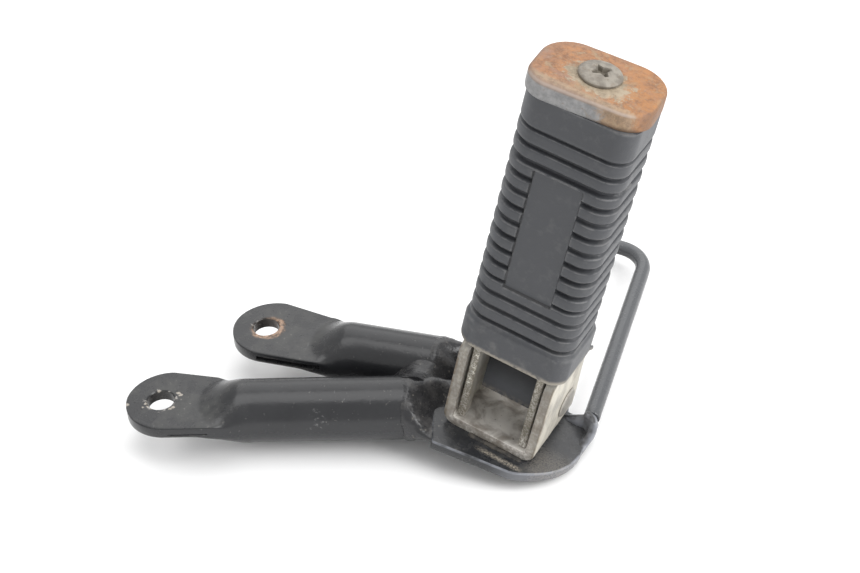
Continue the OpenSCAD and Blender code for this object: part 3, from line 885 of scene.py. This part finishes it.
def clevis(material):
    """The bent U: a sheet through the middle of its steel, thickened, with a worn floor."""
    mid, low, bend = (CLEVIS_W - CLEVIS_T) / 2, CLEVIS_T / 2, 2.6
    drops = (0, 0.15, 0.5, 1, 1.6, 2.4, 3.2, 4, 5, 6, 8, 11, 14, 17, 20, 22.5, 25, 27)
    heights = [EAR_H - drop for drop in drops]
    left = [(-mid, h) for h in heights]
    turn = arc(-mid + bend, low + bend, bend, 180, 270, 9)
    floor_line = [(x, low) for x in steps(-mid + bend, mid - bend, 10)[1:-1]]
    half = left + turn + floor_line
    line = half + [(-x, z) for x, z in reversed(left + turn)]
    grid = []
    for x, z in line:
        front, back = ear_limits(z)
        grid.append([(x, lerp(front, back, t), z) for t in steps(0, 1, 22)])
    sheet = ring_mesh(grid, close=False, cap=False)
    piece = new_piece("clevis", sheet, PLATE, "bracket", ["clevis_bracket"], material)
    m = piece.modifiers.new("thick", "SOLIDIFY")
    m.thickness, m.offset, m.use_even_offset = CLEVIS_T * MM, 0.0, True
    apply_modifiers(piece)
    for v in piece.data.vertices:
        p = v.co / MM
        if p.z < 3.4 and abs(p.x) < 12 and p.z > 2:
            v.co.z -= MM * 0.35 * max(wobble((p.x, p.y, 0), 5.0, 3.0), 0)
    shade(bevel(piece, 0.45, 3, 50), 40)


# ---- guard ----
def guard_path():
    """(place, direction) pairs along the rod, with its two corners rounded."""
    pts = [Vector(p) for p in GUARD_LINE]
    path = [(pts[0] - (pts[1] - pts[0]).normalized() * 0.9, pts[1] - pts[0])]
    for a, b, c in zip(pts, pts[1:], pts[2:]):
        u, v = (b - a).normalized(), (c - b).normalized()
        angle = u.angle_signed(v) * -1
        back = GUARD_BEND * tan(abs(angle) / 2)
        start = b - u * back
        left = Vector((-u.y, u.x))
        centre = start + left * GUARD_BEND
        for i in range(15):
            q = abs(angle) * i / 14
            ahead = u * cos(q) + left * sin(q)
            path.append((centre + Vector((ahead.y, -ahead.x)) * GUARD_BEND, ahead))
    path.append((pts[-1], pts[-1] - pts[-2]))
    dense = []
    for (a, ha), (b, hb) in zip(path, path[1:]):
        n = max(int((b - a).length / 2.5), 1)
        ha, hb = ha.normalized(), hb.normalized()
        dense += [(a.lerp(b, i / n), ha.lerp(hb, i / n)) for i in range(n)]
    dense.append(path[-1])
    return dense


def heel_guard(material):
    rings = []
    for p, ahead in guard_path():
        h = ahead.normalized()
        side = Vector((-h.y, h.x))
        ring = []
        for a in turns(28):
            r = GUARD_R * (1 + 0.012 * wobble((p.x, p.y, 3 * a), 6.0, 1.0))
            c = r * cos(a)
            ring.append((p.x + side.x * c, p.y + side.y * c, GUARD_Z + r * sin(a)))
        rings.append(ring)
    piece = new_piece("guard_rod", ring_mesh(rings), ROW, "bracket", ["heel_guard"],
                      material)
    shade(bevel(piece, 0.5, 2, 60), 40)


# ---- pivot ----
PIN_AXIS = rigid((0, PIN_Y, PIN_Z), (90, "Y"))
PIN_AXIS.translation /= MM  # the pin's line, in millimetres on the plate
EAR_OUT = CLEVIS_W / 2  # the ears' outer faces
GROOVE_R = 3.2  # the pin in its clip groove


def pivot_pin(material):
    """The pin, with its clip groove on the left and its low head on the right."""
    out = EAR_OUT
    shape = lathe([(GROOVE_R, -out - 4), (PIN_R, -out - 3.3), (PIN_R, -out - 2.9),
                   (GROOVE_R, -out - 2.85), (GROOVE_R, -out - 1.9), (PIN_R, -out - 1.85),
                   (PIN_R, out + 0.02), (4.9, out + 0.03), (5.0, out + 0.3), (4.75, out + 0.62),
                   (4.2, out + 0.75), (2.4, out + 0.8), (0.8, out + 0.7)], PIN_AXIS)
    new_piece("pivot_pin_detail", shape, PLATE, "bracket", ["pivot_pin"], material, 40)


def washer(material):
    """The washer under the clip, with eased edges."""
    inner, outer, near, away = PIN_R + 0.08, 7.5, -EAR_OUT - 1.7, -EAR_OUT - 0.2
    profile = [(inner, near + 0.2), (inner + 0.2, near), (outer - 0.4, near), (outer, near + 0.4),
               (outer, away - 0.2), (outer - 0.2, away), (inner + 0.2, away), (inner, away - 0.2)]
    bm = ring_mesh([circle(r, z, 48, PIN_AXIS) for r, z in profile + profile[:1]], cap=False)
    bmesh.ops.remove_doubles(bm, verts=bm.verts, dist=1e-7)
    new_piece("pin_washer_detail", bm, PLATE, "bracket", ["pin_washer"], material, 40)


# ---- peg core ----
def core_side():
    """Outline in Y and Z of one wall: heel, knuckle about the pin, then the straight shank."""
    knuckle = 8.4
    line = [(1.2, 3.7), (4.6, 3.6), (5.4, 4.2), (5.8, 8.2), (6.6, 9.2), (8.2, 9.6), (10.2, 9.2)]
    line += arc(PIN_Y, PIN_Z, knuckle, 205, 370, 26)
    line += [(26.2, 17), (24.2, 21), (17.6, 32), (17, 34), (17, CORE_TOP), (1.2, CORE_TOP)]
    return line


def peg_core(material):
    """Channel of sheet: two walls and the web behind them."""
    bm = bmesh.new()
    for side in (-1, 1):
        add_prism(bm, core_side(), "X", CORE_T, side * (CORE_W - CORE_T) / 2)
    half, front, back = CORE_W / 2 - 0.2, 14.6, 17
    web = [(-half, front), (half, front), (half, back), (-half, back)]
    add_prism(bm, web, "Z", CORE_TOP - 26.2, (CORE_TOP + 26.0) / 2)
    piece = new_piece("core_channel", bm, PLATE, "peg", ["peg_core"], material)
    shade(bevel(piece, 0.4, 3, 30), 40)


# ---- grip ----
# each groove's height, half width and depth, from the top down
GROOVES = [(115.6, 0.62, 0.9), (110.4, 0.85, 1.3), (105.25, 1.15, 1.6)]
GROOVES += [(100.1 - 5.18 * i, 1.0, 1.6) for i in range(7)]
GROOVES += [(63.8, 0.8, 1.3), (58.6, 0.85, 1.3), (53.5, 0.85, 1.3), (48.3, 0.75, 1.1)]
BROKEN, HALF_BROKEN = range(3, 10), 10  # the grooves that the panel interrupts
PANEL_X = (-7.2, 7.65)
PANEL_Z = (62.4, 103.6)
COLLAR_Z = 46.6
PLUG_Y = 8.9  # middle of the plug inside the cap


def grip_half(z):
    """Half the grip's width and depth at a height."""
    t = (z - GRIP_Z0) / (CAP_Z0 - GRIP_Z0)
    return lerp(17.15, 16.55, t), lerp(11.9, 12.0, t)


def groove_cut(z, centre, half, depth):
    """Depth of a round-edged groove at a height."""
    d = abs(z - centre)
    wall = depth * (1 - smooth(half * 0.62, half * 1.12, d))
    shoulder = 0.14 * exp(-((d - half) / 0.55) ** 2) if d > half else 0.14
    return wall + shoulder


def grip_dent(x, y, z, out):
    """How far the surface sits inside the grip's plain outline."""
    front = smooth(0.8, 0.97, -out.y)
    back = smooth(0.8, 0.97, out.y)
    (left, right), (foot, head) = PANEL_X, PANEL_Z
    inside = smooth(left - 0.15, left + 0.15, x) * (1 - smooth(right - 0.15, right + 0.15, x))
    panel = max(front, back) * inside
    dent = 0.0
    for i, (centre, half, depth) in enumerate(GROOVES):
        if abs(z - centre) > 3:
            continue
        amount = 1.0
        if i in BROKEN:
            amount = 1 - panel
        elif i == HALF_BROKEN:
            amount = 1 - 0.72 * panel * smooth(left - 2, left + 2, x)
        side = 1 - 0.35 * smooth(0.85, 1.0, abs(out.x))
        dent = max(dent, groove_cut(z, centre, half, depth * side) * amount)
    tall = smooth(foot - 0.15, foot + 0.2, z) * (1 - smooth(head - 0.3, head + 0.3, z))
    dent = max(dent, 0.7 * panel * tall)
    collar = 1 - smooth(COLLAR_Z - 0.9, COLLAR_Z + 0.3, z)
    dent -= collar * 0.55
    corner = smooth(0.25, 0.75, abs(out.x * out.y) * 2)
    dent -= collar * 0.35 * corner
    lip = max(0.0, 1 - (z - GRIP_Z0) / 1.7)
    dent += 1.7 * (1 - sqrt(max(1 - lip ** 2, 0)))
    dent += 0.05 * wobble((x, y, z), 9.0, 5.0)
    return dent


def grip_heights():
    """Heights of the grip's rings, close together at its lip and its grooves."""
    heights, z = [], GRIP_Z0
    while z < CAP_Z0 + 0.4:
        heights.append(z)
        near = min(abs(z - g[0]) for g in GROOVES)
        z += 0.13 if z < GRIP_Z0 + 1.6 else (0.17 if near < 1.9 else 0.45)
    return heights


def rubber_grip(material):
    """The grooved sleeve, with a plug that stands inside the cap."""
    rings = []
    for z in grip_heights():
        half_w, half_d = grip_half(z)
        ring = []
        for p, out in rounded_loop(half_w, half_d, GRIP_R, arc=16, flat=52):
            q = p - out * grip_dent(p.x, p.y, z, out)
            ring.append((q.x + GRIP_X, q.y + GRIP_Y, z))
        rings.append(ring)
    for inset, z in ((1.6, CAP_Z0 + 0.5), (1.9, CAP_Z0 + 3.8)):
        half_w, half_d = CAP_W / 2 - 2.4, CAP_D / 2 - 2.4
        loop = rounded_loop(half_w - inset / 9, half_d - inset / 9, GRIP_R, arc=16, flat=52)
        rings.append([(p.x + GRIP_X, p.y + PLUG_Y, z) for p, _ in loop])
    new_piece("grip", ring_mesh(rings), PLATE, "peg", ["rubber_grip"], material, 50)


def tongue(material):
    """The rubber's tail between the walls of the core, with a rounded lower edge."""
    half = CORE_W / 2 - CORE_T - 0.05
    bm = bmesh.new()
    outline = [(12.9, 37.5), (12.4, 31), (11.7, 25), (11.0, 20), (10.6, 16), (10.5, 13)]
    outline += arc(11.6, 10.8, 1.1, 180, 360, 12) + [(12.7, 20), (13.9, 37.5)]
    add_prism(bm, outline, "X", 2 * half, 0)
    new_piece("grip_tail", bm, PLATE, "peg", [], material, 40)


def torn_flash(material):
    """A rag of moulding flash left on the collar's lower back corner."""
    outer = [(17.7, 15.2, 40.6), (18.8, 17.0, 39.6), (18.7, 18.4, 37.4),
             (18.5, 18.9, 36.4), (17.5, 17.6, 35.9)]
    rag = ring_mesh([outer, [(x - 0.5, y - 0.35, z + 0.05) for x, y, z in outer]])
    piece = new_piece("grip_flash", rag, PLATE, "peg", [], material)
    shade(bevel(piece, 0.12, 2, 30), 40)


def end_cap(material):
    """Pressed cap: crowned top, rolled edge and skirt, made as a skin and thickened inwards."""
    top = CAP_TOP
    profile = [(1.55, CAP_Z0 + 0.25), (1.2, CAP_Z0), (0.3, CAP_Z0), (0.0, CAP_Z0 + 0.35),
               (-0.05, CAP_Z0 + 2), (0.0, top - 1.6)]
    for a in steps(10, 90, 8):
        c, n = cos(radians(a)), sin(radians(a))
        profile.append((1.4 * (1 - c), top - 1.45 + 1.25 * n))
    profile += [(2.2, top - 0.17), (3.6, top - 0.1), (5.0, top - 0.05), (7.0, top), (9.0, top)]
    rings = []
    for inset, z in profile:
        radii = [max(r - inset, 1.0) for r in CAP_R]
        loop = rounded_loop(CAP_W / 2 - inset, CAP_D / 2 - inset, radii, arc=14, flat=12)
        ring = []
        for p, _ in loop:
            dent = 0.12 * wobble((p.x, p.y, z), 8.0, 2.0) * smooth(CAP_Z0, top, z)
            q = Matrix.Rotation(radians(CAP_TURN), 2) @ p
            ring.append((q.x + CAP_X, q.y + CAP_Y, z + dent))
        rings.append(ring)
    bm = bmesh.new()
    rows = add_rings(bm, rings, cap=False)
    bm.faces.new(rows[-1])
    piece = new_piece("cap", bm, PLATE, "peg", ["end_cap"], material)
    inner = piece.modifiers.new("thick", "SOLIDIFY")
    inner.thickness, inner.offset = 0.9 * MM, -1.0
    apply_modifiers(piece)
    shade(piece, 60)


def end_screw(material):
    """Shank and low domed head, with a recess of four pointed arms."""
    top = CAP_TOP
    axis = Matrix.Translation((GRIP_X, SCREW_Y, 0))
    shape = lathe([(1.6, top - 16), (2.9, top - 14.8), (2.9, top - 0.05), (SCREW_R - 0.15, top),
                   (SCREW_R, top + 0.2), (SCREW_R, top + 0.7), (SCREW_R - 0.25, top + 1.05),
                   (SCREW_R - 0.9, top + 1.3), (4.2, top + 1.5), (2.8, top + 1.65),
                   (1.4, top + 1.7), (0.3, top + 1.7)], axis)
    piece = new_piece("screw", shape, PLATE, "peg", ["end_screw"], material)
    for turn in (52, 142):
        c, n = cos(radians(turn)), sin(radians(turn))
        rings = []
        for reach, tip, middle, z in ((1.9, 0.3, 0.8, top + 0.5), (3.7, 0.7, 1.9, top + 2.6)):
            corners = [(-reach, -tip), (0, -middle), (reach, -tip)]
            corners += [(-x, -y) for x, y in corners]
            rings.append([(GRIP_X + x * c - y * n, SCREW_Y + x * n + y * c, z) for x, y in corners])
        cut(piece, ring_mesh(rings))
    shade(piece, 35)


# ---- put it together ----
PAINT = black_paint("rod_paint", False)
PLATE_PAINT = black_paint("plate_paint", True)
FRONT_PAINT = chipped_paint("front_tube_paint", 0.0)
REAR_PAINT = chipped_paint("rear_tube_paint", 1.0)
WELD = weld_paint()
DUSTY = dusty_weld()
ZINC = worn_zinc("worn_zinc", False)
RUBBED = worn_zinc("rubbed_zinc", True)
STEEL = plain_steel()
RUBBER = grip_rubber()
TAIL = dark_rubber()
RUST = rusty_cap()
SCREW = screw_steel()

# a tube's mesh ends 5 mm short of its length, and both ends are hidden inside the collars
bracket_tube("front_tube_detail", FRONT, FRONT_LENGTH - 1.8, 12.5, (-0.9, -0.55, 4, 16),
             "front_tube", FRONT_PAINT)
bracket_tube("rear_tube_detail", REAR, REAR_LENGTH + 1.4, 16.5, (-1.1, 0.55, 1.5, 23),
             "rear_tube", REAR_PAINT)
mounting_plate(PLATE_PAINT)
plate_lug(PLATE_PAINT)
crotch_weld(WELD)
collar_weld("front_tube_collar", FRONT, FRONT_LENGTH - 8.6,
            [(-15.6, 16.5), (-16.0, 10), (-18.3, 2), (-14.2, -8.8)], "front_tube_weld", WELD, 2)
collar_weld("rear_tube_collar", REAR, REAR_LENGTH - 5.5,
            [(-16.5, 33), (-17.5, 24), (-15.8, 15)], "rear_tube_weld", WELD, 3)
weld("clevis_front_bead", PLATE, "clevis_front_weld",
     [[(-6, -0.7, 0.0), (4, -0.8, 0.1), (12.5, -0.7, 0.0)]], 0.95, 0.5, DUSTY, 4, 0.03)
weld("clevis_rear_bead", PLATE, "clevis_rear_weld",
     [[(-12, CLEVIS_D + 0.6, 0.2), (11, CLEVIS_D + 0.6, 0.2)]], 1.5, 1.2, DUSTY, 5)
clevis(ZINC)
heel_guard(PAINT)
GUARD_FOOT = [[(20.8, 25.8, 3.8), (22.3, 25.9, 4.35), (23.8, 25.4, 4.1), (25.0, 24.3, 3.2),
               (25.4, 22.8, 2.0)], [(21.2, 27.3, 0.9), (24.6, 27.3, 0.7)]]
weld("guard_foot_bead", PLATE, "guard_foot_weld", GUARD_FOOT, 1.5, 1.5, PLATE_PAINT, seed=6,
     ripple=0.0, uneven=0.04)
GUARD_END = [[(76.2, 70.4, GUARD_Z + 1.6), (82, 70.4, GUARD_Z + 1.6)]]
weld("guard_end_bead", ROW, "guard_end_weld", GUARD_END, 1.9, 1.7, WELD, seed=7)
pivot_pin(STEEL)
washer(ZINC)
peg_core(RUBBED)
rubber_grip(RUBBER)
tongue(TAIL)
torn_flash(RUBBER)
end_cap(RUST)
end_screw(SCREW)
for kept in ("retaining_clip", "friction_washers", "pivot_spacer", "core_end_plate", "weld_nut"):
    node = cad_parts[kept]
    node.data.materials.clear()
    node.data.materials.append(STEEL)


# ---- floor, light and camera ----
FLOOR_HALF = 3.0  # metres
LAMPS_AIM = Vector((0.08, 0.05, 0.03))
# each lamp's name, place in metres, side in metres and power in watts
LAMPS = [("key", (0.95, 0.15, 0.65), 0.7, 10.0), ("back", (-0.3, 0.95, 0.95), 1.2, 5.0),
         ("top", (0.05, 0.02, 1.3), 0.9, 5.5)]
WORLD_STRENGTH = 0.8
CAMERA_AT = (0.26133, -0.26900, 0.32709)
CAMERA_AHEAD = (-0.404278, 0.675499, -0.616653)
CAMERA_UP = (-0.269476, 0.556311, 0.786067)
CAMERA_LENS = 65.26


def studio():
    low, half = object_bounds()[0][2], FLOOR_HALF
    mesh = bpy.data.meshes.new("floor")
    corners = [(-half, -half, low), (half, -half, low), (half, half, low), (-half, half, low)]
    mesh.from_pydata(corners, [], [(0, 1, 2, 3)])
    floor = add_object("floor", mesh)
    k = Look("floor_white", specular=0.2)
    k.colour = (0.93, 0.93, 0.93)
    mesh.materials.append(k.finish(0.6))
    floor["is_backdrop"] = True
    world = bpy.data.worlds.new("studio")
    world.use_nodes = True
    background = world.node_tree.nodes["Background"]
    background.inputs["Color"].default_value = (1.0, 1.0, 1.0, 1)
    background.inputs["Strength"].default_value = WORLD_STRENGTH
    bpy.context.scene.world = world
    for name, at, size, power in LAMPS:
        lamp = bpy.data.lights.new(name, "AREA")
        lamp.size, lamp.energy = size, power
        o = add_object(name, lamp)
        o.location = at
        o.rotation_euler = (LAMPS_AIM - Vector(at)).to_track_quat("-Z", "Y").to_euler()


def camera():
    ahead = Vector(CAMERA_AHEAD).normalized()
    right = ahead.cross(Vector(CAMERA_UP)).normalized()
    up = right.cross(ahead)
    data = bpy.data.cameras.new("camera")
    data.lens, data.sensor_width = CAMERA_LENS, 36.0
    data.clip_start = 0.01
    o = add_object("camera", data)
    turn = Matrix((right, up, -ahead)).transposed().to_4x4()
    o.matrix_world = Matrix.Translation(CAMERA_AT) @ turn
    bpy.context.scene.camera = o


studio()
camera()
bpy.context.scene.view_settings.view_transform = "Standard"
